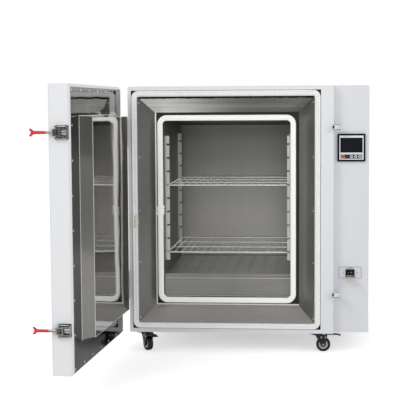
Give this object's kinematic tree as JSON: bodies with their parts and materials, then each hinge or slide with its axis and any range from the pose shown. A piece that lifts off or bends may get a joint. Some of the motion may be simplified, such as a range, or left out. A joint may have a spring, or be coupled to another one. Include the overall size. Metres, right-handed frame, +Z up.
{
  "type": "forced-air drying oven",
  "caption": "Floor-standing forced-air drying oven on casters, with an open hinged plug door, wire shelves, rope seals, latch clamps and a side control column.",
  "frame": {"origin": "on the floor under the centre of the cabinet, control column included", "axes": "+Z up; -Y is the front, where the door is; +X is the control column's side"},
  "size_m": [1.013, 1.5783, 0.935],
  "materials": {
    "white_paint": "satin powder coat",
    "galvanised": "zinc coated sheet",
    "stainless": "satin stainless sheet",
    "fibre_seal": "woven ceramic fibre",
    "mineral_wool": "mineral wool",
    "heater_sheath": "heat-tinted sheath",
    "motor_paint": "grey enamel",
    "bright_wire": "bright plated wire",
    "black_plastic": "moulded",
    "controller_black": "moulded",
    "screen": "dark window",
    "key_orange": "moulded",
    "key_blue": "moulded",
    "key_white": "moulded",
    "switch_metal": "satin",
    "cream_plastic": "moulded",
    "dark_hinge": "blackened",
    "clamp_steel": "zinc plated",
    "red_grip": "dipped vinyl",
    "caster_black": "black coating",
    "tyre_rubber": "moulded"
  },
  "bodies": {
    "cabinet": {"outer_case": "white_paint", "base_pan": "galvanised", "rear_panel": "white_paint", "front_fascia": "white_paint", "gasket_channels": "stainless", "throat_frame": "stainless", "outer_gasket": "fibre_seal", "inner_gasket": "fibre_seal", "chamber_liner": "stainless", "back_duct_panel": "stainless", "slotted_floor": "stainless", "shelf_standards": "stainless", "insulation": "mineral_wool", "heater_elements": "heater_sheath", "temperature_probe": "stainless", "fan_motor": "motor_paint", "motor_cover": "white_paint", "exhaust_pipe": "stainless", "control_housing": "white_paint", "control_front": "white_paint", "cable_gland": "black_plastic", "controller_case": "controller_black", "controller_screen": "screen", "power_switch_plate": "switch_metal", "cabinet_hinges": "dark_hinge", "door_keepers": "clamp_steel", "caster_plates": "caster_black"},
    "door": {"door_pan": "white_paint", "door_liner": "stainless", "door_plug": "stainless", "door_insulation": "mineral_wool", "door_hinges": "dark_hinge", "latch_bases": "clamp_steel"},
    "latch_lever_lower": {"latch_lever_lower": "clamp_steel", "latch_grip_lower": "red_grip"},
    "latch_bail_lower": {"latch_bail_lower": "clamp_steel"},
    "shelf_lower": {"wire_shelf_lower": "bright_wire"},
    "latch_lever_upper": {"latch_lever_upper": "clamp_steel", "latch_grip_upper": "red_grip"},
    "latch_bail_upper": {"latch_bail_upper": "clamp_steel"},
    "shelf_upper": {"wire_shelf_upper": "bright_wire"},
    "fan": {"fan_impeller": "stainless"},
    "damper": {"exhaust_damper": "stainless"},
    "fork_front_left": {"caster_fork_front_left": "caster_black"},
    "wheel_front_left": {"caster_wheel_front_left": "tyre_rubber"},
    "fork_front_right": {"caster_fork_front_right": "caster_black"},
    "wheel_front_right": {"caster_wheel_front_right": "tyre_rubber"},
    "fork_rear_left": {"caster_fork_rear_left": "caster_black"},
    "wheel_rear_left": {"caster_wheel_rear_left": "tyre_rubber"},
    "fork_rear_right": {"caster_fork_rear_right": "caster_black"},
    "wheel_rear_right": {"caster_wheel_rear_right": "tyre_rubber"},
    "pedal_front_left": {"brake_pedal_front_left": "caster_black"},
    "pedal_front_right": {"brake_pedal_front_right": "caster_black"},
    "key_1": {"controller_key_1": "key_orange"},
    "key_2": {"controller_key_2": "key_blue"},
    "key_3": {"controller_key_3": "key_white"},
    "key_4": {"controller_key_4": "key_white"},
    "key_5": {"controller_key_5": "key_white"},
    "rocker": {"power_rocker": "black_plastic"},
    "switch_cover": {"switch_cover": "cream_plastic"}
  },
  "joints": [
    {"name": "door_swing", "type": "hinge", "parent": "cabinet", "child": "door", "pos_m": [-0.436, -0.38, 0.5075], "axis": [0, 0, -1], "range_deg": [-93.1, 76.9]},
    {"name": "latch_lever_lower_turn", "type": "hinge", "parent": "door", "child": "latch_lever_lower", "pos_m": [-0.50527, -1.10431, 0.212], "axis": [0, 0, 1], "range_deg": [0, 105]},
    {"name": "latch_bail_lower_turn", "type": "hinge", "parent": "latch_lever_lower", "child": "latch_bail_lower", "pos_m": [-0.51516, -1.10198, 0.212], "axis": [0, 0, 1], "range_deg": [-141.75, 0]},
    {"name": "latch_lever_upper_turn", "type": "hinge", "parent": "door", "child": "latch_lever_upper", "pos_m": [-0.50527, -1.10431, 0.792], "axis": [0, 0, 1], "range_deg": [0, 105]},
    {"name": "latch_bail_upper_turn", "type": "hinge", "parent": "latch_lever_upper", "child": "latch_bail_upper", "pos_m": [-0.51516, -1.10198, 0.792], "axis": [0, 0, 1], "range_deg": [-141.75, 0]},
    {"name": "shelf_lower_slide", "type": "slide", "parent": "cabinet", "child": "shelf_lower", "axis": [0, -1, 0], "range_m": [0, 0.3]},
    {"name": "shelf_upper_slide", "type": "slide", "parent": "cabinet", "child": "shelf_upper", "axis": [0, -1, 0], "range_m": [0, 0.3]},
    {"name": "fan_spin", "type": "hinge", "parent": "cabinet", "child": "fan", "pos_m": [-0.0775, 0.37, 0.512], "axis": [0, 1, 0], "continuous": true},
    {"name": "damper_turn", "type": "hinge", "parent": "cabinet", "child": "damper", "pos_m": [0.0375, 0.384, 0.757], "axis": [-1, 0, 0], "range_deg": [0, 90]},
    {"name": "swivel_front_left", "type": "hinge", "parent": "cabinet", "child": "fork_front_left", "pos_m": [-0.371, -0.315, 0.064], "axis": [0, 0, 1], "continuous": true},
    {"name": "roll_front_left", "type": "hinge", "parent": "fork_front_left", "child": "wheel_front_left", "pos_m": [-0.36011, -0.33177, 0.025], "axis": [0.8387, 0.5446, 0], "continuous": true},
    {"name": "brake_front_left", "type": "hinge", "parent": "fork_front_left", "child": "pedal_front_left", "pos_m": [-0.3552, -0.33932, 0.059], "axis": [0.8387, 0.5446, 0], "range_deg": [0, 12]},
    {"name": "swivel_front_right", "type": "hinge", "parent": "cabinet", "child": "fork_front_right", "pos_m": [0.242, -0.315, 0.064], "axis": [0, 0, 1], "continuous": true},
    {"name": "roll_front_right", "type": "hinge", "parent": "fork_front_right", "child": "wheel_front_right", "pos_m": [0.262, -0.315, 0.025], "axis": [0, 1, 0], "continuous": true},
    {"name": "brake_front_right", "type": "hinge", "parent": "fork_front_right", "child": "pedal_front_right", "pos_m": [0.271, -0.315, 0.059], "axis": [0, 1, 0], "range_deg": [0, 12]},
    {"name": "swivel_rear_left", "type": "hinge", "parent": "cabinet", "child": "fork_rear_left", "pos_m": [-0.371, 0.315, 0.064], "axis": [0, 0, 1], "continuous": true},
    {"name": "roll_rear_left", "type": "hinge", "parent": "fork_rear_left", "child": "wheel_rear_left", "pos_m": [-0.36416, 0.33379, 0.025], "axis": [-0.9397, 0.342, 0], "continuous": true},
    {"name": "swivel_rear_right", "type": "hinge", "parent": "cabinet", "child": "fork_rear_right", "pos_m": [0.242, 0.315, 0.064], "axis": [0, 0, 1], "continuous": true},
    {"name": "roll_rear_right", "type": "hinge", "parent": "fork_rear_right", "child": "wheel_rear_right", "pos_m": [0.23516, 0.33379, 0.025], "axis": [-0.9397, -0.342, 0], "continuous": true},
    {"name": "key_1_press", "type": "slide", "parent": "cabinet", "child": "key_1", "axis": [0, 1, 0], "range_m": [0, 0.0012], "stiffness_N_per_m": 600, "springref_m": -0.0005},
    {"name": "key_2_press", "type": "slide", "parent": "cabinet", "child": "key_2", "axis": [0, 1, 0], "range_m": [0, 0.0012], "stiffness_N_per_m": 600, "springref_m": -0.0005},
    {"name": "key_3_press", "type": "slide", "parent": "cabinet", "child": "key_3", "axis": [0, 1, 0], "range_m": [0, 0.0012], "stiffness_N_per_m": 600, "springref_m": -0.0005},
    {"name": "key_4_press", "type": "slide", "parent": "cabinet", "child": "key_4", "axis": [0, 1, 0], "range_m": [0, 0.0012], "stiffness_N_per_m": 600, "springref_m": -0.0005},
    {"name": "key_5_press", "type": "slide", "parent": "cabinet", "child": "key_5", "axis": [0, 1, 0], "range_m": [0, 0.0012], "stiffness_N_per_m": 600, "springref_m": -0.0005},
    {"name": "rocker_tilt", "type": "hinge", "parent": "cabinet", "child": "rocker", "pos_m": [0.355, -0.331, 0.283], "axis": [0, 0, 1], "range_deg": [0, 16]},
    {"name": "cover_lift", "type": "hinge", "parent": "cabinet", "child": "switch_cover", "pos_m": [0.355, -0.3418, 0.2682], "axis": [-1, 0, 0], "range_deg": [0, 104]}
  ],
  "couplings": [
    {"joint": "latch_bail_lower_turn", "follows": "latch_lever_lower_turn", "ratio": -1.35},
    {"joint": "latch_bail_upper_turn", "follows": "latch_lever_upper_turn", "ratio": -1.35}
  ]
}
